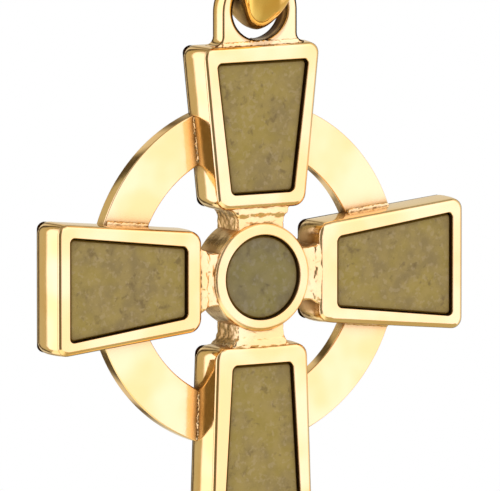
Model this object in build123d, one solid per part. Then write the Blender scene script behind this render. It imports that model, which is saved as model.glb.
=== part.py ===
from build123d import *
import math
import os

# Celtic cross pendant: a soldered gold cross with five inlaid stones, hanging from a folded bail.
# Millimetres. +X is right as seen from the front, +Z is up and the front faces -Y.
# The origin is the hang point: the inside of the bail's top, where a chain bears.
# Depths are counted from the front face of the arms towards the back.

# Arms: reaches are measured from the centre of the cross, half widths across each arm
arm_reach = 8.19
foot_reach = 12.6
arm_root_half = 1.76
arm_tip_half = 2.37
foot_root_half = 1.85
foot_tip_half = 2.2
arm_depth = 1.72
arm_corner = 0.42
front_round = 0.26
back_round = 0.24

# Rims left round the arm stones: at the two ends, and along the sides at root and tip
rim_tip = 0.46
top_rim_tip = 0.575
rim_root = 0.54
side_arm_rim_root = 0.605
foot_rim_end = 0.64
side_rim_root = 0.5
side_rim_tip = 0.515
foot_rim_root = 0.63
foot_rim_tip = 0.4
window_corner = 0.2

# Stones and the pockets that hold them
stone_recess = 0.12
stone_depth = 0.7
stone_gap = 0.05
bed_gap = 0.02
stone_bevel = 0.05

# Round setting at the centre, and the four tabs that tie it to the arms
hub_radius = 1.92
hub_rim = 0.42
hub_gap = 0.49
hub_round = 0.2
tab_width = 1.86
tab_recess = 0.15
tab_round = 0.08
tab_bite = 0.2
tab_flare = 0.38

# Flat ring at the back of the arms, and the solder along its joints with them
ring_outer = 6.14
ring_width = 1.72
ring_thick = 0.55
ring_round = 0.06
back_step = 0.05
solder_leg = 0.25

# Eye on the top arm: a flat plate with a round hole
hole_radius = 1.1
eye_web = 0.39
eye_sill = 0.04
eye_recess = 0.2
eye_thick = 0.74
eye_round = 0.12
eye_flare = 0.3
eye_bite = 0.3

# Bail: a folded leaf whose solid nose passes through the eye
bail_height = 6.3
bail_half_depth = 1.7
bail_belly = 3.6
bail_half_width = 1.5
bail_wall = 0.45
bail_dome = 0.22
nose_round = 0.85
nose_gap = 0.535
leaf_round = 0.58
leaf_waist = 1.35
leaf_rise = 2.1
leaf_spread = 1.57
saddle_play = 0.07
saddle_swell = 0.61

# Handle length that makes a cubic curve follow a quarter of an ellipse
QUARTER_HANDLE = 4 / 3 * (math.sqrt(2) - 1)

# Places that follow from the sizes above
root_reach = hub_radius + hub_gap
hub_window = hub_radius - hub_rim
pocket_depth = stone_recess + stone_depth + bed_gap
plate_back = arm_depth - back_step
ring_recess = plate_back - ring_thick
ring_inner = ring_outer - ring_width
eye_half = hole_radius + eye_web
eye_centre = arm_reach + eye_sill + hole_radius
pivot_above_centre = eye_centre + hole_radius + eye_web / 2
saddle_radius = math.hypot(eye_thick / 2 - eye_round, eye_web / 2 - eye_round) + eye_round + saddle_play
nose_depth = eye_web / 2 + 2 * hole_radius - nose_gap
hang_above_pivot = bail_height - bail_wall - nose_depth
centre_z = -(pivot_above_centre + hang_above_pivot)
pivot_z = -hang_above_pivot
bail_foot_z = pivot_z - nose_depth
front_y = -(eye_recess + eye_thick / 2)

# Each arm's pattern: its reach, then half widths, side rims and end rims at root and tip
TOP_ARM = {
    "reach": arm_reach,
    "halves": (arm_root_half, arm_tip_half),
    "rims": (side_rim_root, side_rim_tip),
    "ends": (rim_root, top_rim_tip),
}
SIDE_ARM = {**TOP_ARM, "ends": (side_arm_rim_root, rim_tip)}
FOOT_ARM = {
    "reach": foot_reach,
    "halves": (foot_root_half, foot_tip_half),
    "rims": (foot_rim_root, foot_rim_tip),
    "ends": (foot_rim_end, rim_tip),
}

# Each arm's pattern, and how far it is turned from the top one
ARMS = {
    "top": (TOP_ARM, 0),
    "left": (SIDE_ARM, 90),
    "bottom": (FOOT_ARM, 180),
    "right": (SIDE_ARM, -90),
}


def face_plane(depth):
    """The upright plane at a depth, with its own axes along +X and +Z."""
    return Plane(origin=(0, front_y + depth, centre_z), x_dir=(1, 0, 0), z_dir=(0, -1, 0))


def slab(outline, near, far):
    """Stand an outline drawn about the cross's centre upright, between two depths."""
    return extrude(face_plane(far) * outline, far - near)


def soften(block, front, back):
    """Round the front and back edges of an upright block."""
    block = fillet(block.faces().sort_by(Axis.Y)[0].edges(), front)
    return fillet(block.faces().sort_by(Axis.Y)[-1].edges(), back)


def tapered(start, end, halves, corner):
    """A tapered outline between two stations along the top arm, with round corners."""
    near, far = halves
    corners = [(-near, start), (near, start), (far, end), (-far, end)]
    outline = make_face(Polyline(*corners, close=True))
    return fillet(outline.vertices(), corner)


def turned(outline, turn):
    """Turn an outline drawn for the top arm onto another arm."""
    return Rot(0, 0, turn) * outline


def arm_outline(pattern, grow=0):
    halves = [half + grow for half in pattern["halves"]]
    return tapered(root_reach, pattern["reach"], halves, arm_corner)


def window_outline(pattern):
    halves = [half - rim for half, rim in zip(pattern["halves"], pattern["rims"])]
    root_rim, tip_rim = pattern["ends"]
    return tapered(root_reach + root_rim, pattern["reach"] - tip_rim, halves, window_corner)


def arm_block(pattern, turn):
    """One arm as a solid bar with softened edges."""
    return soften(slab(turned(arm_outline(pattern), turn), 0, arm_depth), front_round, back_round)


def hub_block():
    return soften(slab(Circle(hub_radius), 0, arm_depth), hub_round, back_round)


def tab_block(turn):
    """A tab from inside the hub's rim to inside an arm's root rim, flared where it meets the arm."""
    half = tab_width / 2
    start = math.sqrt(hub_radius**2 - half**2) - tab_round
    end = root_reach + tab_bite
    flare = min(tab_flare, root_reach - start - tab_round)
    bar = Pos(0, (start + end) / 2) * Rectangle(tab_width, end - start)
    foot = Pos(0, root_reach + tab_bite / 2) * Rectangle(2 * (half + flare + tab_round), tab_bite)
    outline = bar + foot
    inner = [v for v in outline.vertices() if math.isclose(abs(v.X), half) and math.isclose(v.Y, root_reach)]
    outline = fillet(inner, flare)
    block = slab(turned(outline, turn), tab_recess, plate_back)
    return fillet(block.faces().sort_by(Axis.Y)[0].edges(), tab_round)


def ring_block():
    ring = slab(Circle(ring_outer) - Circle(ring_inner), ring_recess, plate_back)
    return soften(ring, ring_round, ring_round)


def solder_bead(pattern, turn):
    """The sloped bead where an arm's walls meet the face of the ring."""
    spread = face_plane(ring_recess) * turned(arm_outline(pattern, solder_leg), turn)
    wedge = extrude(spread, solder_leg + back_step, taper=45)
    band = slab(Circle(ring_outer - ring_round) - Circle(ring_inner + ring_round), 0, plate_back)
    return wedge & band


def eye_block():
    """The flat eye on the top arm, flared where it is soldered down."""
    foot = arm_reach - eye_bite
    spread = eye_half + eye_flare
    side = [(spread, foot), (spread, arm_reach), (eye_half, arm_reach + eye_flare)]
    other = [(-x, z) for x, z in reversed(side)]
    plate = make_face(Polyline(*side, (eye_half, eye_centre), (-eye_half, eye_centre), *other, close=True))
    plate += Pos(0, eye_centre) * Circle(eye_half)
    plate -= Pos(0, eye_centre) * Circle(hole_radius)
    return soften(slab(plate, eye_recess, eye_recess + eye_thick), eye_round, eye_round)


def pocket(outline):
    """The space a stone sits in, cut from in front of the face."""
    return slab(outline, -front_round, pocket_depth)


def stone(outline):
    """A flat stone a little smaller than its pocket, with a fine bevel round its face."""
    block = slab(offset(outline, -stone_gap), stone_recess, stone_recess + stone_depth)
    return chamfer(block.faces().sort_by(Axis.Y)[0].edges(), stone_bevel)


def cross_frame():
    """The soldered metal: arms, hub, tabs, ring, solder and eye as one solid, with its pockets."""
    metal = hub_block() + ring_block() + eye_block()
    for pattern, turn in ARMS.values():
        metal += arm_block(pattern, turn) + tab_block(turn) + solder_bead(pattern, turn)
    for pattern, turn in ARMS.values():
        metal -= pocket(turned(window_outline(pattern), turn))
    return metal - pocket(Circle(hub_window))


def egg(half_depth, foot, belly, top, spread):
    """A teardrop outline in the side view: a narrow round foot, a belly and a round top."""
    right = Bezier((0, foot), (spread, foot), (half_depth, (foot + belly) / 2), (half_depth, belly))
    shoulder = belly + QUARTER_HANDLE * (top - belly)
    crown = Bezier((half_depth, belly), (half_depth, shoulder), (QUARTER_HANDLE * half_depth, top), (0, top))
    half = right + crown
    return make_face(half + mirror(half, Plane.YZ))


def leaf():
    """The bail's outline in the front view: a leaf that widens upwards from a round tip."""
    full = bail_belly + leaf_spread
    clear = bail_height + bail_wall
    side = Bezier((0, 0), (leaf_round, 0), (leaf_waist, leaf_rise), (bail_half_width, full))
    side += Polyline((bail_half_width, full), (bail_half_width, clear), (0, clear))
    return make_face(side + mirror(side, Plane.YZ))


def saddle_cut():
    """The waisted hollow in which the eye's rim turns: narrowest in the middle, round about the pivot."""
    reach = hole_radius + bail_half_width
    edge = saddle_radius + saddle_swell
    waist = ThreePointArc((-hole_radius, edge), (0, saddle_radius), (hole_radius, edge))
    right = [(hole_radius, edge), (reach, edge), (reach, 0)]
    left = [(-x, y) for x, y in reversed(right)]
    profile = make_face(waist + Polyline(*right, *left))
    return Pos(0, 0, pivot_z) * revolve(Plane.XZ * profile, Axis.X)


def bail():
    """The folded leaf: a domed teardrop loop seen from the side, a leaf seen from the front."""
    side_plane = Plane(origin=(0, 0, bail_foot_z), x_dir=(0, 1, 0), z_dir=(1, 0, 0))
    front_plane = Plane(origin=(0, 0, bail_foot_z), x_dir=(1, 0, 0), z_dir=(0, -1, 0))
    middle = side_plane * egg(bail_half_depth, 0, bail_belly, bail_height, nose_round)
    edge = egg(bail_half_depth - bail_dome, bail_dome, bail_belly, bail_height - bail_dome, nose_round)
    right = side_plane.offset(bail_half_width) * edge
    left = side_plane.offset(-bail_half_width) * edge
    hollow_foot = nose_depth - saddle_radius
    hollow_top = bail_height - bail_wall
    hollow_round = nose_round - bail_wall / 2
    hollow = side_plane * egg(bail_half_depth - bail_wall, hollow_foot, bail_belly, hollow_top, hollow_round)
    body = loft([left, middle, right])
    body -= extrude(hollow, 2 * bail_half_width, both=True) + saddle_cut()
    return body & extrude(front_plane * leaf(), 2 * bail_half_depth, both=True)


def build():
    pieces = {"cross_frame": cross_frame(), "bail": bail()}
    for name, (pattern, turn) in ARMS.items():
        pieces["stone_" + name] = stone(turned(window_outline(pattern), turn))
    pieces["stone_centre"] = stone(Circle(hub_window))
    return pieces


os.makedirs("parts", exist_ok=True)
for node, piece in build().items():
    export_step(piece, "parts/" + node + ".step")
    box = piece.bounding_box()
    print(node, "volume", round(piece.volume, 3), "low", box.min, "high", box.max)
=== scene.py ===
import math

import bmesh
import bpy
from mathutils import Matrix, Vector


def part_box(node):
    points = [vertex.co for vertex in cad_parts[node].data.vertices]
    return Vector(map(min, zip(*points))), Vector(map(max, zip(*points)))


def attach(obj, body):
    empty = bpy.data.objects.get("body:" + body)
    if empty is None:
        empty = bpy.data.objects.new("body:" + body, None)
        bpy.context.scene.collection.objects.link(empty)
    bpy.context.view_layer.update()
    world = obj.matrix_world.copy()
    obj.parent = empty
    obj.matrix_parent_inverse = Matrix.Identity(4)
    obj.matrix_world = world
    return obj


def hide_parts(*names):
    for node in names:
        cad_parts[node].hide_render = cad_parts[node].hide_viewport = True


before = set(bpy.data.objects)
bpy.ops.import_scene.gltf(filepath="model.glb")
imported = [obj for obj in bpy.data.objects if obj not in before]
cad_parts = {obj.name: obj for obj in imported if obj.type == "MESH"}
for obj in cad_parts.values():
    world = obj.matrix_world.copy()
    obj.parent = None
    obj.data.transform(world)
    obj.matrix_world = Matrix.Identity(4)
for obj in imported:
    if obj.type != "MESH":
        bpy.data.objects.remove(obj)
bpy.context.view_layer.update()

MM = 0.001

# The camera: a long lens from the pendant's left, a little above it
VIEW_AZIMUTH = -30
VIEW_ELEVATION = 7
VIEW_DISTANCE = 450 * MM
FRAME_WIDTH = 17.5 * MM
SENSOR = 36
IMAGE_WIDTH, IMAGE_HEIGHT = 500, 491
CENTRE_PIXEL = (263.4, 277.6)

# Where the cross's centre is, on the plane of the arms' front faces
hub_low, hub_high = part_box("stone_centre")
metal_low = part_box("cross_frame")[0]
CENTRE = Vector((0, metal_low.y, (hub_low.z + hub_high.z) / 2))
BAIL_FOOT = Vector((0, 0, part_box("bail")[0].z))

# The cross is modelled in millimetres about its centre, with its front faces at depth 0
ARM_ROOT = 2.41
ARM_DEPTH = 1.72
ARM_CORNER = 0.42
ARM_CROWN = 0.05
ARM_FULLNESS = 0.08
ARM_FALL = 0.154
CROWN_STEPS = 12
FRONT_ROUND = 0.2
BACK_ROUND = 0.24
WINDOW_CORNER = 0.2
WINDOW_SOFT = 0.045
POCKET_DEPTH = 0.84
CORNER_STEPS = 7
EDGE_STEPS = 5

# Each arm's pattern: its reach, then its half widths, side rims and end rims at root and tip, and how full its
# side walls and end walls are
TOP_ARM = {"reach": 8.19, "halves": (1.76, 2.37), "rims": (0.5, 0.515), "ends": (0.54, 0.575), "full": (1, 0)}
SIDE_ARM = {**TOP_ARM, "ends": (0.605, 0.46), "full": (0, 1)}
FOOT_ARM = {"reach": 12.6, "halves": (1.85, 2.2), "rims": (0.63, 0.4), "ends": (0.64, 0.46), "full": (1, 0)}

# How much nearer to the hub the right arm's root comes
RIGHT_ROOT_MORE = 0.1

HUB_RADIUS = 1.92
HUB_RIM = 0.42
HUB_ROUND = 0.2

TAB_HALF = 0.93
TAB_START = 1.6
TAB_RECESS = 0.15
TAB_BITE = 0.3
TAB_FLARE = 0.5
TAB_OUT = 0.85
PLATE_BACK = 1.67

# Lumps of solder on a tab: place across and up, then half width, half thickness and half height
TAB_LUMPS = (
    ((-0.62, 0.16, 2.31), (0.46, 0.12, 0.2)),
    ((0.02, 0.15, 2.34), (0.5, 0.13, 0.18)),
    ((0.66, 0.16, 2.3), (0.44, 0.12, 0.21)),
    ((-0.42, 0.2, 2.02), (0.4, 0.1, 0.12)),
    ((0.36, 0.2, 2.03), (0.42, 0.1, 0.12)),
)
TAB_GRAIN = 0.045
TAB_SOFT = 9
TAB_ROUGH = 0.08

RING_OUTER = 6.14
RING_INNER = 4.42
RING_RECESS = 1.12
RING_ROUND = 0.06
RING_STEPS = 144

# Solder where the arms' walls meet the ring's face, run past the ring and then trimmed to it
SEAM_PAST_INNER = 0.4
SEAM_PAST_OUTER = 0.3
SEAM_OFF_BACK = 0.1
SEAM_RADIUS = 0.12
SEAM_SIDES = 12
SEAM_GRAIN = 0.04
SEAM_SOFT = 5
SEAM_ROUGH = 0.07

HOLE_RADIUS = 1.1
HOLE_FILL = 0.11
EYE_HALF = 1.55
EYE_CENTRE = 9.33
EYE_RECESS = 0.2
EYE_THICK = 0.74
EYE_ROUND = 0.17
HOLE_ROUND = 0.19
EYE_CROWN = 0.07
EYE_FULLEST = 0.6
EYE_FLARE = 0.3
EYE_BITE = 0.3
EYE_RIM = 0.2
EYE_SEAM_RISE = 0.03
EYE_SEAM_FRONT = 0.06
EYE_SEAM_BACK = 0.02
ROUND_STEPS = 96

# The bail is modelled in millimetres too, from its own foot up
BAIL_HEIGHT = 6.3
BAIL_HALF_DEPTH = 1.7
BAIL_BELLY = 3.6
BAIL_HALF_WIDTH = 1.5
BAIL_WALL = 0.45
BAIL_DOME = 0.22
BAIL_GRAIN = 0.05
BAIL_SOFT = 80
NOSE_MORE = 0.13
NOSE_DOME = 0.3
NOSE_HALF = 0.5
BAIL_STEPS = 20
HOLLOW_FOOT = 1.41
LEAF_SIDE = ((0, -NOSE_MORE), (0.8, -NOSE_MORE), (1.35, 2.1), (1.5, 5.17))
LEAF_TOP = 6.8
LEAF_TIP = 0.4
LEAF_STEPS = 20
PIVOT_HEIGHT = 1.86
SADDLE_RADIUS = 0.451
SADDLE_SWELL = 0.61

# How near two places count as one, and the slopes that tell faces and edges apart
NEAR = 1e-4
STRAIGHT = 0.9
EDGE_ANGLE = 0.9
FLAT_ANGLE = 1
SHARP_ANGLE = 38


def activate(piece):
    """Leave one piece selected, and make it the one the operators act on."""
    bpy.ops.object.select_all(action="DESELECT")
    piece.select_set(True)
    bpy.context.view_layer.objects.active = piece


def open_mesh(piece):
    activate(piece)
    bpy.ops.object.mode_set(mode="EDIT")


def close_mesh():
    bpy.ops.object.mode_set(mode="OBJECT")


def pick(kind, test):
    """Select the open mesh's vertices, edges or faces that pass a test of their place."""
    bpy.ops.mesh.select_mode(type=kind)
    bpy.ops.mesh.select_all(action="DESELECT")
    data = bpy.context.edit_object.data
    shape = bmesh.from_edit_mesh(data)
    shape.normal_update()
    for item in {"VERT": shape.verts, "EDGE": shape.edges, "FACE": shape.faces}[kind]:
        if test(item):
            item.select_set(True)
    bmesh.update_edit_mesh(data)


def middle(edge):
    return (edge.verts[0].co + edge.verts[1].co) / 2


def along(edge, axis):
    """Whether an edge runs along one axis (0, 1 or 2)."""
    run = edge.verts[1].co - edge.verts[0].co
    return abs(run[axis]) > STRAIGHT * run.length


def looks(face, way):
    """Whether a face looks up (1) or down (-1)."""
    return way * face.normal.z > STRAIGHT


def at_depth(item, depth):
    """Whether all of an edge or face is at one depth."""
    return all(abs(vert.co.y - depth) < NEAR for vert in item.verts)


def round_off(offset, steps, profile=0.5):
    bpy.ops.mesh.bevel(offset=offset, segments=steps, profile=profile, affect="EDGES", clamp_overlap=False)


def roll_edges(front):
    """Round the outer edges of the front face, and of the back face."""
    for depth, offset in ((0, front), (ARM_DEPTH, BACK_ROUND)):
        pick("EDGE", lambda edge: at_depth(edge, depth))
        round_off(offset, EDGE_STEPS)


def soften_mouth():
    """Take the sharpness off the mouth of the pocket in the front face."""
    pick("EDGE", lambda edge: at_depth(edge, 0) and any(abs(face.normal.y) < 0.1 for face in edge.link_faces))
    round_off(WINDOW_SOFT, 3)


def apply_place(piece):
    activate(piece)
    bpy.ops.object.transform_apply(location=True, rotation=True, scale=True)


def block(name, low, high):
    """A box between two corners."""
    low, high = Vector(low), Vector(high)
    bpy.ops.mesh.primitive_cube_add(size=1, location=(low + high) / 2)
    piece = bpy.context.object
    piece.name = name
    piece.scale = high - low
    apply_place(piece)
    return piece


def disc(name, radius, near, far, height=0):
    """A round bar that runs from front to back."""
    bpy.ops.mesh.primitive_cylinder_add(
        vertices=ROUND_STEPS,
        radius=radius,
        depth=far - near,
        location=(0, (near + far) / 2, height),
        rotation=(math.pi / 2, 0, 0),
    )
    piece = bpy.context.object
    piece.name = name
    apply_place(piece)
    return piece


def turned(piece, turn):
    """Turn a finished piece about the cross's centre."""
    piece.rotation_euler.y = math.radians(turn)
    apply_place(piece)
    return piece


def copy_of(piece):
    """A copy with its own mesh."""
    twin = piece.copy()
    twin.data = piece.data.copy()
    bpy.context.scene.collection.objects.link(twin)
    return twin


def join(pieces):
    """Put several meshes into the first one."""
    activate(pieces[0])
    for piece in pieces[1:]:
        piece.select_set(True)
    bpy.ops.object.join()
    return pieces[0]


def fuse(piece, tool, operation="UNION"):
    """Join, cut or trim one closed solid with another, which is used up."""
    change = piece.modifiers.new("fuse", "BOOLEAN")
    change.operation = operation
    change.solver = "MANIFOLD"
    change.object = tool
    activate(piece)
    bpy.ops.object.modifier_apply(modifier=change.name)
    bpy.data.objects.remove(tool)


def melt(piece, grain, soft, rough=0, seed=0):
    """Give a solid an even mesh, make it rough if asked, and let its surface run smooth."""
    even = piece.modifiers.new("even", "REMESH")
    even.mode = "VOXEL"
    even.voxel_size = grain
    activate(piece)
    bpy.ops.object.modifier_apply(modifier=even.name)
    if rough:
        open_mesh(piece)
        bpy.ops.mesh.select_all(action="SELECT")
        bpy.ops.transform.vertex_random(offset=rough, seed=seed)
        close_mesh()
    wear = piece.modifiers.new("wear", "SMOOTH")
    wear.factor = 0.5
    wear.iterations = soft
    bpy.ops.object.modifier_apply(modifier=wear.name)


def wall_draw(step, full):
    """How far an arm's wall is drawn in at a step of its depth: least at half depth, most at the back."""
    off = 2 * step / CROWN_STEPS - 1
    swell = ARM_FULLNESS * full
    if off < 0:
        return ARM_CROWN * (0.4 * off**2 + 0.6 * off**6) - swell * (1 + math.cos(math.pi * off)) / 2
    return ARM_FALL * off**4 - swell


def tapered_bar(name, depth, start, end, halves, corner, full=None):
    """A bar from the front plane to a depth that widens along an arm, with round corners.

    Its walls may be crowned, fuller at its sides or at its ends.
    """
    root, tip = halves
    bar = block(name, (-tip, 0, start), (tip, depth, end))
    open_mesh(bar)
    pick("FACE", lambda face: looks(face, -1))
    bpy.ops.transform.resize(value=(root / tip, 1, 1), center_override=(0, 0, start))
    if full:
        pick("EDGE", lambda edge: along(edge, 1))
        bpy.ops.mesh.subdivide(number_cuts=CROWN_STEPS - 1)
        for step in range(CROWN_STEPS + 1):
            level = depth * step / CROWN_STEPS
            pick("VERT", lambda vert: abs(vert.co.y - level) < NEAR)
            narrower = 1 - 2 * wall_draw(step, full[0]) / (root + tip)
            shorter = 1 - 2 * wall_draw(step, full[1]) / (end - start)
            bpy.ops.transform.resize(value=(narrower, 1, shorter), center_override=(0, level, (start + end) / 2))
    pick("EDGE", lambda edge: along(edge, 1))
    round_off(corner, CORNER_STEPS)
    close_mesh()
    return bar


def arm(pattern):
    """The top arm of a pattern: a tapered bar with rolled edges and the pocket for its stone."""
    bar = tapered_bar("arm", ARM_DEPTH, ARM_ROOT, pattern["reach"], pattern["halves"], ARM_CORNER, pattern["full"])
    open_mesh(bar)
    roll_edges(FRONT_ROUND)
    close_mesh()
    halves = [half - rim for half, rim in zip(pattern["halves"], pattern["rims"])]
    root_rim, tip_rim = pattern["ends"]
    window = tapered_bar(
        "window", POCKET_DEPTH, ARM_ROOT + root_rim, pattern["reach"] - tip_rim, halves, WINDOW_CORNER
    )
    open_mesh(window)
    bpy.ops.mesh.select_all(action="SELECT")
    bpy.ops.mesh.flip_normals()
    close_mesh()
    bar = join([bar, window])
    open_mesh(bar)
    pick("FACE", lambda face: at_depth(face, 0))
    bpy.ops.mesh.delete(type="ONLY_FACE")
    pick("EDGE", lambda edge: edge.is_boundary)
    bpy.ops.mesh.bridge_edge_loops()
    soften_mouth()
    close_mesh()
    return bar


def hub():
    """The round setting at the centre."""
    piece = disc("hub", HUB_RADIUS, 0, ARM_DEPTH)
    open_mesh(piece)
    roll_edges(HUB_ROUND)
    pick("FACE", lambda face: at_depth(face, 0))
    bpy.ops.mesh.inset(thickness=HUB_RIM - HUB_ROUND)
    bpy.ops.mesh.extrude_region_move(TRANSFORM_OT_translate={"value": (0, POCKET_DEPTH, 0)})
    soften_mouth()
    close_mesh()
    return piece


def drawn_up(name, near, far, start, stations):
    """A bar between two depths, drawn up through stations of half width and height, and left open to edit."""
    (half, height), *rest = stations
    piece = block(name, (-half, near, start), (half, far, height))
    open_mesh(piece)
    pick("FACE", lambda face: looks(face, 1))
    for wider, higher in rest:
        bpy.ops.mesh.extrude_region_move(TRANSFORM_OT_translate={"value": (0, 0, higher - height)})
        bpy.ops.transform.resize(value=(wider / half, 1, 1), center_override=(0, 0, higher))
        half, height = wider, higher
    return piece


def cove(steps):
    """The stations of a quarter-round hollow of radius 1: how far it spreads and how far it has risen."""
    bends = [math.pi / 2 * step / steps for step in range(steps + 1)]
    return [(1 - math.cos(bend), math.sin(bend)) for bend in bends]


def tab(seed):
    """The tab that ties the hub to the top arm, flared where it meets the arm and lumpy with solder."""
    neck = ARM_ROOT - TAB_OUT * TAB_FLARE
    flare = [(TAB_HALF + TAB_FLARE * spread, neck + TAB_FLARE * rise) for spread, rise in cove(EDGE_STEPS)]
    flare.append((TAB_HALF + TAB_FLARE, ARM_ROOT + TAB_BITE))
    piece = drawn_up("tab", TAB_RECESS, PLATE_BACK, TAB_START, flare)
    close_mesh()
    for place, size in TAB_LUMPS:
        bpy.ops.mesh.primitive_ico_sphere_add(subdivisions=3, radius=1, location=place)
        drop = bpy.context.object
        drop.scale = size
        apply_place(drop)
        fuse(piece, drop)
    melt(piece, TAB_GRAIN, TAB_SOFT, TAB_ROUGH, seed)
    return piece


def spun_bar(name, inner, outer, near, far, soft=0):
    """A flat ring about the centre: its section is drawn once and spun."""
    bpy.ops.mesh.primitive_plane_add(size=1, location=((inner + outer) / 2, (near + far) / 2, 0))
    piece = bpy.context.object
    piece.name = name
    piece.scale = (outer - inner, far - near, 1)
    apply_place(piece)
    open_mesh(piece)
    if soft:
        bpy.ops.mesh.select_all(action="SELECT")
        bpy.ops.mesh.bevel(offset=soft, segments=3, affect="VERTICES")
    bpy.ops.mesh.select_all(action="SELECT")
    bpy.ops.mesh.delete(type="ONLY_FACE")
    bpy.ops.mesh.select_mode(type="VERT")
    bpy.ops.mesh.select_all(action="SELECT")
    bpy.ops.mesh.spin(steps=RING_STEPS, angle=2 * math.pi, center=(0, 0, 0), axis=(0, 1, 0))
    bpy.ops.mesh.select_all(action="SELECT")
    bpy.ops.mesh.remove_doubles(threshold=NEAR)
    bpy.ops.mesh.normals_make_consistent(inside=False)
    close_mesh()
    return piece


def seam(start, end):
    """A run of solder between two points (across, depth, up)."""
    start, end = Vector(start), Vector(end)
    run = end - start
    bpy.ops.mesh.primitive_cylinder_add(
        vertices=SEAM_SIDES,
        radius=SEAM_RADIUS,
        depth=run.length,
        location=(start + end) / 2,
        rotation=run.to_track_quat("Z", "Y").to_euler(),
    )
    apply_place(bpy.context.object)
    return bpy.context.object


def arm_seams():
    """The lumpy runs of solder where the arms' walls meet the ring's face."""
    made = []
    for turn, pattern in ((0, TOP_ARM), (90, SIDE_ARM), (-90, SIDE_ARM), (180, FOOT_ARM)):
        root, tip = pattern["halves"]
        slope = (tip - root) / (pattern["reach"] - ARM_ROOT)
        low, high = RING_INNER - SEAM_PAST_INNER, RING_OUTER + SEAM_PAST_OUTER
        walls = [root + slope * (level - ARM_ROOT) for level in (low, high)]
        for side in (-1, 1):
            ends = [(side * wall, RING_RECESS, level) for wall, level in zip(walls, (low, high))]
            made.append(turned(seam(*ends), turn))
    piece = join(made)
    melt(piece, SEAM_GRAIN, SEAM_SOFT, SEAM_ROUGH, 3)
    band = spun_bar("band", RING_INNER + RING_ROUND, RING_OUTER - RING_ROUND, 0, PLATE_BACK - SEAM_OFF_BACK)
    fuse(piece, band, "INTERSECT")
    return piece


def from_eye(point):
    """How far a point is from the eye's own axis."""
    return math.hypot(point.x, point.z - EYE_CENTRE)


def eye():
    """The flat eye that the bail passes through: thickest round its middle, thinner at the front and back."""
    foot = TOP_ARM["reach"] - EYE_BITE
    back = EYE_RECESS + EYE_THICK
    knee = TOP_ARM["reach"] + EYE_FLARE
    flare = [(EYE_HALF + EYE_FLARE * spread, knee - EYE_FLARE * rise) for spread, rise in reversed(cove(EDGE_STEPS))]
    flare.append((EYE_HALF, EYE_CENTRE))
    piece = drawn_up("eye", EYE_RECESS, back, foot, flare)
    close_mesh()
    fuse(piece, disc("crown", EYE_HALF, EYE_RECESS, back, EYE_CENTRE))
    hole = disc("hole", HOLE_RADIUS, -1, ARM_DEPTH, EYE_CENTRE)
    open_mesh(hole)
    bpy.ops.mesh.select_all(action="SELECT")
    bpy.ops.transform.resize(
        value=(1, 1, 1 - HOLE_FILL / HOLE_RADIUS / 2), center_override=(0, 0, EYE_CENTRE + HOLE_RADIUS)
    )
    close_mesh()
    fuse(piece, hole, "DIFFERENCE")
    open_mesh(piece)
    bpy.ops.mesh.select_all(action="SELECT")
    bpy.ops.mesh.remove_doubles(threshold=NEAR)
    bpy.ops.mesh.dissolve_limited(angle_limit=math.radians(FLAT_ANGLE))
    pick("EDGE", lambda edge: along(edge, 1))
    bpy.ops.mesh.subdivide(number_cuts=CROWN_STEPS - 1)
    for step in range(CROWN_STEPS + 1):
        level = EYE_RECESS + EYE_THICK * step / CROWN_STEPS
        draw = EYE_CROWN * ((step / CROWN_STEPS - EYE_FULLEST) / EYE_FULLEST) ** 2
        pick("VERT", lambda vert: abs(vert.co.y - level) < NEAR and from_eye(vert.co) > EYE_HALF - EYE_RIM)
        narrower = 1 - draw / EYE_HALF
        bpy.ops.transform.resize(value=(narrower, 1, narrower), center_override=(0, level, EYE_CENTRE))
    for depth in (EYE_RECESS, back):
        for inside, offset in ((True, HOLE_ROUND), (False, EYE_ROUND)):
            pick(
                "EDGE",
                lambda edge: at_depth(edge, depth)
                and edge.calc_face_angle(0) > EDGE_ANGLE
                and middle(edge).z > foot + EYE_BITE / 2
                and (from_eye(middle(edge)) < HOLE_RADIUS + 0.05) == inside,
            )
            round_off(offset, EDGE_STEPS)
    close_mesh()
    return piece


def eye_seam():
    """The uneven run of solder at the eye's foot, in front and behind."""
    level = TOP_ARM["reach"] + EYE_SEAM_RISE
    depths = (EYE_RECESS + EYE_SEAM_FRONT, EYE_RECESS + EYE_THICK - EYE_SEAM_BACK)
    piece = join([seam((-EYE_HALF, depth, level), (EYE_HALF, depth, level)) for depth in depths])
    melt(piece, SEAM_GRAIN, SEAM_SOFT, SEAM_ROUGH, 5)
    return piece


def settle(piece, name, place, body, node):
    """Shrink a finished solid from millimetres to its place on the frame, and hand it over.

    Where surfaces nearly touch, recalculating turns the whole solid inwards, so its volume decides.
    """
    open_mesh(piece)
    bpy.ops.mesh.select_all(action="SELECT")
    bpy.ops.mesh.normals_make_consistent(inside=False)
    if bmesh.from_edit_mesh(piece.data).calc_volume(signed=True) < 0:
        bpy.ops.mesh.flip_normals()
    close_mesh()
    bpy.ops.object.shade_smooth_by_angle(angle=math.radians(SHARP_ANGLE))
    weigh = piece.modifiers.new("weigh", "WEIGHTED_NORMAL")
    weigh.keep_sharp = True
    bpy.ops.object.modifier_apply(modifier=weigh.name)
    piece.scale = (MM, MM, MM)
    piece.location = place
    apply_place(piece)
    piece.name = name
    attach(piece, body)
    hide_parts(node)


def right_arm(piece):
    """The right arm, whose root rim is a little wider than the others' and comes nearer to the hub."""
    open_mesh(piece)
    pick("VERT", lambda vert: vert.co.z < ARM_ROOT + SIDE_ARM["ends"][0] / 2)
    bpy.ops.transform.translate(value=(0, 0, -RIGHT_ROOT_MORE))
    close_mesh()
    return turned(piece, 90)


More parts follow.
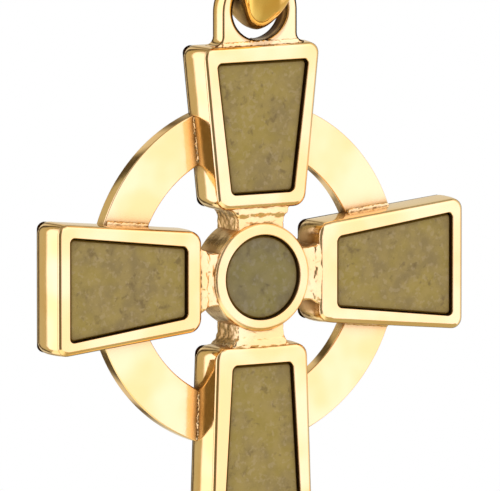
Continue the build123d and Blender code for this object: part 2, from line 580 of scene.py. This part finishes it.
def cross():
    """The soldered cross: arms, hub, tabs, ring, seams and eye in one solid."""
    metal = spun_bar("metal", RING_INNER, RING_OUTER, RING_RECESS, PLATE_BACK, RING_ROUND)
    fuse(metal, arm_seams())
    side = arm(SIDE_ARM)
    fuse(metal, turned(copy_of(side), -90))
    fuse(metal, right_arm(side))
    fuse(metal, turned(arm(FOOT_ARM), 180))
    fuse(metal, arm(TOP_ARM))
    for seed, turn in enumerate((0, 90, -90, 180)):
        fuse(metal, turned(tab(seed), turn))
    fuse(metal, hub())
    fuse(metal, eye())
    fuse(metal, eye_seam())
    return metal


def bar_across(name, half_width, sizes):
    """A bar from left to right, shaped level by level: its depth, and its rise and fall about its axis."""
    bpy.ops.mesh.primitive_cylinder_add(
        vertices=ROUND_STEPS, radius=1, depth=2 * half_width, rotation=(0, math.pi / 2, 0)
    )
    piece = bpy.context.object
    piece.name = name
    apply_place(piece)
    open_mesh(piece)
    pick("EDGE", lambda edge: along(edge, 0))
    bpy.ops.mesh.subdivide(number_cuts=BAIL_STEPS - 1)
    for step in range(BAIL_STEPS + 1):
        level = half_width * (2 * step / BAIL_STEPS - 1)
        depth, rise, fall = sizes(level)
        pick("VERT", lambda vert: abs(vert.co.x - level) < NEAR)
        bpy.ops.transform.resize(value=(1, depth, 1), center_override=(0, 0, 0))
        pick("VERT", lambda vert: abs(vert.co.x - level) < NEAR and vert.co.z > 0)
        bpy.ops.transform.resize(value=(1, 1, rise), center_override=(0, 0, 0))
        pick("VERT", lambda vert: abs(vert.co.x - level) < NEAR and vert.co.z < 0)
        bpy.ops.transform.resize(value=(1, 1, fall), center_override=(0, 0, 0))
    close_mesh()
    return piece


def shift(piece, rise):
    piece.location.z = rise
    apply_place(piece)
    return piece


def egg_sizes(level):
    """The leaf is domed from side to side, and its nose more than the rest."""
    dome = BAIL_DOME * (level / BAIL_HALF_WIDTH) ** 2
    nose = NOSE_DOME * (1 - math.exp(-((level / NOSE_HALF) ** 2)))
    return BAIL_HALF_DEPTH - dome, BAIL_HEIGHT - BAIL_BELLY - dome, BAIL_BELLY + NOSE_MORE - dome - nose


def hollow_sizes(level):
    return BAIL_HALF_DEPTH - BAIL_WALL, BAIL_HEIGHT - BAIL_WALL - BAIL_BELLY, BAIL_BELLY - HOLLOW_FOOT


def saddle_sizes(level):
    swell = SADDLE_RADIUS + SADDLE_SWELL * min(1, (level / HOLE_RADIUS) ** 2)
    return swell, swell, swell


def leaf_place(t):
    """Half width and height of the leaf's outline, part of the way along its side."""
    parts = ((1 - t) ** 3, 3 * (1 - t) ** 2 * t, 3 * (1 - t) * t**2, t**3)
    return [sum(part * point[axis] for part, point in zip(parts, LEAF_SIDE)) for axis in (0, 1)]


def leaf():
    """The leaf's outline as a thick plate, drawn up from its round tip."""
    side = [leaf_place(step / LEAF_STEPS) for step in range(1, LEAF_STEPS + 1)]
    side.append((BAIL_HALF_WIDTH, LEAF_TOP))
    piece = drawn_up("leaf", -2 * BAIL_HALF_DEPTH, 2 * BAIL_HALF_DEPTH, -NOSE_MORE, side)
    pick("FACE", lambda face: looks(face, -1))
    bpy.ops.transform.resize(value=(LEAF_TIP, 1, 1), center_override=(0, 0, 0))
    close_mesh()
    return piece


def bail():
    """The folded leaf whose solid nose passes through the eye, its edges worn round."""
    piece = shift(bar_across("bail_leaf", BAIL_HALF_WIDTH, egg_sizes), BAIL_BELLY)
    fuse(piece, shift(bar_across("hollow", 2 * BAIL_HALF_WIDTH, hollow_sizes), BAIL_BELLY), "DIFFERENCE")
    fuse(piece, leaf(), "INTERSECT")
    fuse(piece, shift(bar_across("saddle", 2 * HOLE_RADIUS, saddle_sizes), PIVOT_HEIGHT), "DIFFERENCE")
    melt(piece, BAIL_GRAIN, BAIL_SOFT)
    return piece


def toward(azimuth, elevation):
    """The direction at an azimuth from the front and an elevation, in degrees."""
    az, el = math.radians(azimuth), math.radians(elevation)
    return Vector((math.sin(az) * math.cos(el), -math.cos(az) * math.cos(el), math.sin(el)))


def aim_camera():
    """Stand the camera so that the cross's centre falls on its own pixel."""
    back = toward(VIEW_AZIMUTH, VIEW_ELEVATION)
    turn = (-back).to_track_quat("-Z", "Y")
    pixel = FRAME_WIDTH / IMAGE_WIDTH
    right = turn @ Vector((1, 0, 0))
    up = turn @ Vector((0, 1, 0))
    aside = (IMAGE_WIDTH / 2 - CENTRE_PIXEL[0]) * pixel
    above = (CENTRE_PIXEL[1] - IMAGE_HEIGHT / 2) * pixel
    data = bpy.data.cameras.new("camera")
    data.sensor_width = SENSOR
    data.lens = SENSOR * VIEW_DISTANCE / FRAME_WIDTH
    data.clip_start = VIEW_DISTANCE / 10
    data.clip_end = VIEW_DISTANCE * 20
    camera = bpy.data.objects.new("camera", data)
    camera.rotation_mode = "QUATERNION"
    camera.rotation_quaternion = turn
    camera.location = CENTRE + right * aside + up * above + back * VIEW_DISTANCE
    bpy.context.scene.collection.objects.link(camera)
    bpy.context.scene.camera = camera


def put(tree, kind, inputs=None, **settings):
    """Add a node: plain values go into its sockets, and other nodes' sockets are linked to them."""
    node = tree.nodes.new("ShaderNode" + kind)
    for key, value in settings.items():
        setattr(node, key, value)
    for key, value in (inputs or {}).items():
        if isinstance(value, bpy.types.NodeSocket):
            tree.links.new(value, node.inputs[key])
        else:
            node.inputs[key].default_value = value
    return node


def reckon(tree, kind, *values):
    """The result of one Math node."""
    return put(tree, "Math", dict(enumerate(values)), operation=kind).outputs[0]


def soft_box_group():
    """A soft box on the sky: 1 inside, fading to 0 across a feathered edge."""
    group = bpy.data.node_groups.new("soft_box", "ShaderNodeTree")
    place = ("Azimuth", "Elevation")
    size = ("Centre", "Height", "Half Width", "Half Height", "Feather Across", "Feather Up")
    for name in place + size:
        group.interface.new_socket(name, in_out="INPUT", socket_type="NodeSocketFloat")
    group.interface.new_socket("Mask", in_out="OUTPUT", socket_type="NodeSocketFloat")
    given = group.nodes.new("NodeGroupInput").outputs
    aside = reckon(group, "SUBTRACT", given["Azimuth"], given["Centre"])
    aside = reckon(group, "WRAP", aside, 180.0, -180.0)
    above = reckon(group, "SUBTRACT", given["Elevation"], given["Height"])
    masks = []
    for off, half, feather in ((aside, "Half Width", "Feather Across"), (above, "Half Height", "Feather Up")):
        fade = put(
            group,
            "MapRange",
            {
                "Value": reckon(group, "ABSOLUTE", off),
                "From Min": reckon(group, "SUBTRACT", given[half], given[feather]),
                "From Max": reckon(group, "ADD", given[half], given[feather]),
                "To Min": 1.0,
                "To Max": 0.0,
            },
            interpolation_type="SMOOTHSTEP",
        )
        masks.append(fade.outputs[0])
    out = group.nodes.new("NodeGroupOutput")
    group.links.new(reckon(group, "MULTIPLY", *masks), out.inputs["Mask"])
    return group


# The soft boxes round the pendant: centre, height, half width, half height and feathers in degrees, and colour
SOFT_BOXES = {
    "front_right": (23.5, 12, 58.5, 58, 6, 14, (1.36, 1.36, 1.80)),
    "gap": (-56, 0, 22, 45, 6, 22, (0.09, 0.10, 0.10)),
    "left": (-109.5, 0, 33.5, 42, 3.5, 22, (1.55, 1.55, 2.00)),
    "left_back": (-152.5, 0, 9.5, 45, 2, 22, (0.48, 0.44, 0.30)),
    "back": (178, 0, 7, 40, 4, 20, (0.80, 0.78, 0.70)),
    "right_back": (122, 0, 40, 55, 8, 20, (0.66, 0.64, 0.55)),
    "overhead": (0, 84, 200, 36, 1, 20, (0.30, 0.29, 0.26)),
}
ROOM = (0.10, 0.08, 0.05)
WHITE = (1, 1, 1, 1)


def light_world():
    """A pale room: soft boxes where the metal mirrors it, and plain white where the camera looks."""
    world = bpy.data.worlds.new("room")
    bpy.context.scene.world = world
    world.use_nodes = True
    tree = world.node_tree
    tree.nodes.clear()
    place = put(tree, "TexCoord").outputs["Generated"]
    axes = put(tree, "SeparateXYZ", {0: place}).outputs
    azimuth = reckon(tree, "DEGREES", reckon(tree, "ARCTAN2", axes["X"], reckon(tree, "MULTIPLY", axes["Y"], -1.0)))
    elevation = reckon(tree, "DEGREES", reckon(tree, "ARCSINE", axes["Z"]))
    group = soft_box_group()
    light = ROOM
    for *sizes, colour in SOFT_BOXES.values():
        box = put(tree, "Group", node_tree=group)
        tree.links.new(azimuth, box.inputs["Azimuth"])
        tree.links.new(elevation, box.inputs["Elevation"])
        for key, value in zip(list(box.inputs)[2:], sizes):
            key.default_value = value
        light = put(
            tree, "VectorMath", {0: box.outputs[0], 1: colour, 2: light}, operation="MULTIPLY_ADD"
        ).outputs[0]
    room = put(tree, "Background", {"Color": light})
    seen = put(tree, "Background", {"Color": WHITE})
    mix = put(tree, "MixShader", {0: put(tree, "LightPath").outputs["Is Camera Ray"]})
    tree.links.new(room.outputs[0], mix.inputs[1])
    tree.links.new(seen.outputs[0], mix.inputs[2])
    tree.links.new(mix.outputs[0], put(tree, "OutputWorld").inputs["Surface"])


# The floor: its size, its place below the pendant, and its painted glow where the metal mirrors it, which changes
# between two places across it
FLOOR_DEPTH = 0.3
FLOOR_SIZE = 0.7
FLOOR_CHANGE = (-0.1, 0.08)
FLOOR_LEFT = (1.3, 1.3, 1.2, 1)
FLOOR_RIGHT = (0.56, 0.50, 0.32, 1)


def lay_floor():
    """A plain pale floor below the hanging pendant that glows instead of being lit: plain white to the camera, and
    where the metal mirrors it a painted glow, brighter on the left.
    """
    bpy.ops.mesh.primitive_plane_add(size=FLOOR_SIZE, location=(0, 0, -FLOOR_DEPTH))
    floor = bpy.context.object
    floor.name = "floor"
    material = bpy.data.materials.new("floor")
    material.use_nodes = True
    tree = material.node_tree
    tree.nodes.clear()
    across = put(tree, "SeparateXYZ", {0: put(tree, "TexCoord").outputs["Object"]}).outputs["X"]
    # Painted glow of the floor as the metal mirrors it: brighter on the left, dimmer and warmer on the right
    glow = blend_colour(tree, ramp(tree, across, *FLOOR_CHANGE), FLOOR_LEFT, FLOOR_RIGHT)
    mirrored_glow = put(tree, "Emission", {"Color": glow, "Strength": 1.0})
    seen = put(tree, "Emission", {"Color": WHITE, "Strength": 1.0})
    mix = put(tree, "MixShader", {0: put(tree, "LightPath").outputs["Is Camera Ray"]})
    tree.links.new(mirrored_glow.outputs[0], mix.inputs[1])
    tree.links.new(seen.outputs[0], mix.inputs[2])
    tree.links.new(mix.outputs[0], put(tree, "OutputMaterial").inputs["Surface"])
    floor.data.materials.append(material)


def make_group(name, inputs, outputs):
    """An empty node group with named number or vector inputs and number outputs."""
    group = bpy.data.node_groups.new(name, "ShaderNodeTree")
    for key, default in inputs.items():
        kind = "NodeSocketVector" if default is None else "NodeSocketFloat"
        socket = group.interface.new_socket(key, in_out="INPUT", socket_type=kind)
        if default is not None:
            socket.default_value = default
    for key in outputs:
        group.interface.new_socket(key, in_out="OUTPUT", socket_type="NodeSocketFloat")
    return group, group.nodes.new("NodeGroupInput").outputs, group.nodes.new("NodeGroupOutput").inputs


def noise(tree, vector, scale, detail=2.0, rough=0.5, warp=0.0):
    """Noise with features about as many to the metre as its scale says."""
    sockets = {"Vector": vector, "Scale": scale, "Detail": detail, "Roughness": rough, "Distortion": warp}
    return put(tree, "TexNoise", sockets).outputs["Fac"]


def ramp(tree, value, low, high, to_low=0.0, to_high=1.0):
    """A value brought from one range smoothly into another."""
    sockets = {"Value": value, "From Min": low, "From Max": high, "To Min": to_low, "To Max": to_high}
    return put(tree, "MapRange", sockets, interpolation_type="SMOOTHSTEP").outputs[0]


def blend_colour(tree, mask, first, second, how="MIX"):
    node = put(tree, "Mix", {0: mask, 6: first, 7: second}, data_type="RGBA", blend_type=how)
    return node.outputs[2]


def raised(tree, height, rise, under=None):
    """The normal of a surface raised by so many metres, on top of another's."""
    sockets = {"Height": height, "Distance": rise, "Strength": 1.0}
    if under is not None:
        sockets["Normal"] = under
    return put(tree, "Bump", sockets).outputs[0]


def crevice_group():
    """How far a place lies in a corner or under an edge, from 0 in the open to 1."""
    group, given, out = make_group("crevice", {"Reach": 0.001, "Open": 0.9, "Closed": 0.4}, ["Mask"])
    shade = put(group, "AmbientOcclusion", {"Distance": given["Reach"]}, samples=12)
    depth = ramp(group, shade.outputs["AO"], given["Closed"], given["Open"], 1.0, 0.0)
    group.links.new(depth, out["Mask"])
    return group


def mottle_group():
    """Broad patches, fine grain and the unevenness of a polished or cut surface."""
    group, given, out = make_group(
        "mottle", {"Vector": None, "Patch Scale": 400.0, "Grain Scale": 4000.0}, ["Patches", "Grain"]
    )
    group.links.new(noise(group, given["Vector"], given["Patch Scale"]), out["Patches"])
    group.links.new(noise(group, given["Vector"], given["Grain Scale"], 3.0), out["Grain"])
    return group


def start_material(name):
    material = bpy.data.materials.new(name)
    material.use_nodes = True
    tree = material.node_tree
    place = put(tree, "TexCoord").outputs["Object"]
    return material, tree, tree.nodes["Principled BSDF"], place


def away_group():
    """How far a place is from the hub's axis, from the eye's axis and from the front faces, in millimetres."""
    group, given, out = make_group("away", {"Vector": None}, ["Radius", "Eye", "Depth"])
    from_hub = put(group, "VectorMath", {0: given["Vector"], 1: CENTRE}, operation="SUBTRACT")
    axes = put(group, "SeparateXYZ", {0: from_hub.outputs[0]}).outputs
    across, depth, up = [reckon(group, "DIVIDE", axes[key], MM) for key in "XYZ"]
    for key, height in (("Radius", 0.0), ("Eye", EYE_CENTRE)):
        above = reckon(group, "SUBTRACT", up, height)
        squares = reckon(group, "ADD", reckon(group, "POWER", across, 2.0), reckon(group, "MULTIPLY", above, above))
        group.links.new(reckon(group, "SQRT", squares), out[key])
    group.links.new(depth, out["Depth"])
    return group


# Gold: pale and deep tints of the cross and of the bail, then the browns of its painted shade
CROSS_TINTS = ((0.95, 0.69, 0.34, 1), (0.95, 0.615, 0.235, 1))
# The bail's tints, deeper and more orange than the cross's, hold a painted reflection of the gold round it
BAIL_TINTS_WITH_PAINTED_REFLECTION = ((0.95, 0.64, 0.18, 1), (0.90, 0.50, 0.10, 1))
# Browns of painted shade: in mottled patches on the walls round the hub, in corners, in tight creases, and inside
# the eye's hole
HUB_SHADE_BROWN = (0.42, 0.25, 0.08, 1)
CORNER_SHADE_BROWN = (0.50, 0.30, 0.11, 1)
CREASE_SHADE_BROWN = (0.27, 0.15, 0.045, 1)
HOLE_SHADE_BROWN = (0.11, 0.05, 0.01, 1)

# Where the gold is worked and its walls get painted shade in mottled patches round the hub, and where the eye's hole
# gets painted shade, in millimetres: out from the hub's axis or the eye's, and back from the front faces
WORKED_REACH = (2.5, 3.3)
HUB_SHADE_FRONT = (0.24, 0.5)
HUB_SHADE_BACK = (ARM_DEPTH - 0.2, ARM_DEPTH - 0.05)
HOLE_REACH = (HOLE_RADIUS + 0.02, HOLE_RADIUS + 0.12)
HOLE_DEPTH = (0.42, 0.6)

# How far the gold's waves, dents and grain rise, in metres
WAVE_RISE = 0.00002
DENT_RISE = 0.000016
GRAIN_RISE = 0.000006


def gold(name, groups, tints, painted_shade, hole_shade):
    """Polished yellow gold: soft waves and a fine grain, rough round the hub; painted shade in its corners, tight
    creases and the eye's hole, and in mottled patches on its walls round the hub.
    """
    crevices, mottle, away = groups
    material, tree, shader, place = start_material(name)
    shader.inputs["Metallic"].default_value = 1
    corner = put(tree, "Group", {"Reach": 0.001, "Open": 0.89, "Closed": 0.35}, node_tree=crevices).outputs[0]
    crease_shade = put(tree, "Group", {"Reach": 0.0004, "Open": 0.9, "Closed": 0.45}, node_tree=crevices).outputs[0]
    marks = put(tree, "Group", {"Vector": place, "Patch Scale": 420.0, "Grain Scale": 5200.0}, node_tree=mottle)
    spots = put(tree, "Group", {"Vector": place, "Patch Scale": 1700.0, "Grain Scale": 3400.0}, node_tree=mottle)
    where = put(tree, "Group", {"Vector": place}, node_tree=away)
    worked = ramp(tree, where.outputs["Radius"], *WORKED_REACH, 1.0, 0.0)
    reached = reckon(
        tree,
        "MULTIPLY",
        ramp(tree, where.outputs["Depth"], *HUB_SHADE_FRONT),
        ramp(tree, where.outputs["Depth"], *HUB_SHADE_BACK, 1.0, 0.0),
    )
    behind = reckon(tree, "MULTIPLY", worked, reached)
    # Painted shade inside the eye's hole, darker deeper into the bore
    bore_shade = reckon(
        tree,
        "MULTIPLY",
        ramp(tree, where.outputs["Eye"], *HOLE_REACH, hole_shade, 0.0),
        ramp(tree, where.outputs["Depth"], *HOLE_DEPTH, 0.35, 1.0),
    )
    tint = blend_colour(tree, ramp(tree, marks.outputs["Patches"], 0.35, 0.65), *tints)
    # Painted shade in mottled patches on the recessed walls round the hub
    hub_shade = reckon(tree, "MULTIPLY", behind, ramp(tree, spots.outputs["Patches"], 0.35, 0.6, 0.4, 1.0))
    tint = blend_colour(tree, hub_shade, tint, HUB_SHADE_BROWN)
    # Painted shade: brown in corners, darker brown in tight creases, and near black inside the eye's hole
    tint = blend_colour(tree, reckon(tree, "MULTIPLY", corner, painted_shade), tint, CORNER_SHADE_BROWN)
    tint = blend_colour(tree, reckon(tree, "MULTIPLY", crease_shade, painted_shade * 1.4), tint, CREASE_SHADE_BROWN)
    tint = blend_colour(tree, bore_shade, tint, HOLE_SHADE_BROWN)
    tree.links.new(tint, shader.inputs["Base Color"])
    gloss = ramp(tree, marks.outputs["Grain"], 0.3, 0.7, 0.07, 0.13)
    gloss = reckon(tree, "MULTIPLY_ADD", corner, 0.3, gloss)
    tree.links.new(reckon(tree, "MULTIPLY_ADD", worked, 0.12, gloss), shader.inputs["Roughness"])
    dented = reckon(tree, "MULTIPLY", spots.outputs["Grain"], behind)
    rough = reckon(tree, "MULTIPLY", marks.outputs["Grain"], reckon(tree, "MULTIPLY_ADD", corner, 1.6, 0.12))
    waves = raised(tree, marks.outputs["Patches"], WAVE_RISE)
    dents = raised(tree, dented, DENT_RISE, waves)
    tree.links.new(raised(tree, rough, GRAIN_RISE, dents), shader.inputs["Normal"])
    return material


# Stone: its two tints, then clouds, flecks and pits, the painted shade at its edge, and what makes the round stone
# cooler
DARK_STONE = (0.22, 0.16, 0.043, 1)
LIGHT_STONE = (0.272, 0.20, 0.03, 1)
CLOUD_TINT = (0.32, 0.235, 0.055, 1)
FLECK_TINT = (0.40, 0.31, 0.14, 1)
PIT_TINT = (0.13, 0.085, 0.02, 1)
STONE_EDGE_SHADE = (0.12, 0.07, 0.006, 1)
ROUND_STONE_TINT = (0.72, 0.785, 1, 1)
ROUND_STONE_REACH = (2.0, 2.6)
CUT_RISE = 0.000008


def stone(groups):
    """Olive brown stone, cut flat: mottled, flecked and pitted, with painted shade where it meets the metal."""
    crevices, mottle, away = groups
    material, tree, shader, place = start_material("stone")
    shader.inputs["Specular IOR Level"].default_value = 0.2
    edge = put(tree, "Group", {"Reach": 0.0006, "Open": 0.95, "Closed": 0.80}, node_tree=crevices).outputs[0]
    marks = put(tree, "Group", {"Vector": place, "Patch Scale": 900.0, "Grain Scale": 5200.0}, node_tree=mottle)
    where = put(tree, "Group", {"Vector": place}, node_tree=away)
    tint = blend_colour(tree, ramp(tree, marks.outputs["Patches"], 0.34, 0.66), DARK_STONE, LIGHT_STONE)
    cloud = ramp(tree, noise(tree, place, 1900, 4.0, 0.65), 0.35, 0.65)
    tint = blend_colour(tree, reckon(tree, "MULTIPLY", cloud, 0.6), tint, CLOUD_TINT)
    fleck = ramp(tree, marks.outputs["Grain"], 0.52, 0.68, 0.0, 0.32)
    tint = blend_colour(tree, fleck, tint, FLECK_TINT)
    pit = ramp(tree, noise(tree, place, 3000, 3.0, 0.6, 0.3), 0.56, 0.74, 0.0, 0.65)
    tint = blend_colour(tree, pit, tint, PIT_TINT)
    central = ramp(tree, where.outputs["Radius"], *ROUND_STONE_REACH, 1.0, 0.0)
    tint = blend_colour(tree, central, tint, ROUND_STONE_TINT, "MULTIPLY")
    # Painted shade along the stone's edge, under the walls of its pocket
    tint = blend_colour(tree, edge, tint, STONE_EDGE_SHADE)
    tree.links.new(tint, shader.inputs["Base Color"])
    tree.links.new(ramp(tree, marks.outputs["Grain"], 0.3, 0.7, 0.34, 0.5), shader.inputs["Roughness"])
    tree.links.new(raised(tree, marks.outputs["Grain"], CUT_RISE), shader.inputs["Normal"])
    return material


bpy.context.scene.view_settings.view_transform = "Standard"
aim_camera()
light_world()
lay_floor()

groups = (crevice_group(), mottle_group(), away_group())
cross_gold = gold("gold", groups, CROSS_TINTS, 0.6, 1.0)
# The bail: its gold with the deeper tints of painted reflection, stronger painted shade, and no painted shade of the
# eye's hole
bail_gold_painted_reflection = gold("bail_gold_painted_reflection", groups, BAIL_TINTS_WITH_PAINTED_REFLECTION, 0.75, 0.0)
olive_stone = stone(groups)

cross_metal = cross()
settle(cross_metal, "cross_gold", CENTRE, "cross", "cross_frame")
bail_leaf = bail()
settle(bail_leaf, "bail_leaf", BAIL_FOOT, "bail", "bail")

finished = [(cross_metal, cross_gold), (bail_leaf, bail_gold_painted_reflection)]
finished += [(node, olive_stone if name.startswith("stone") else cross_gold) for name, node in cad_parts.items()]
for piece, material in finished:
    piece.data.materials.clear()
    piece.data.materials.append(material)
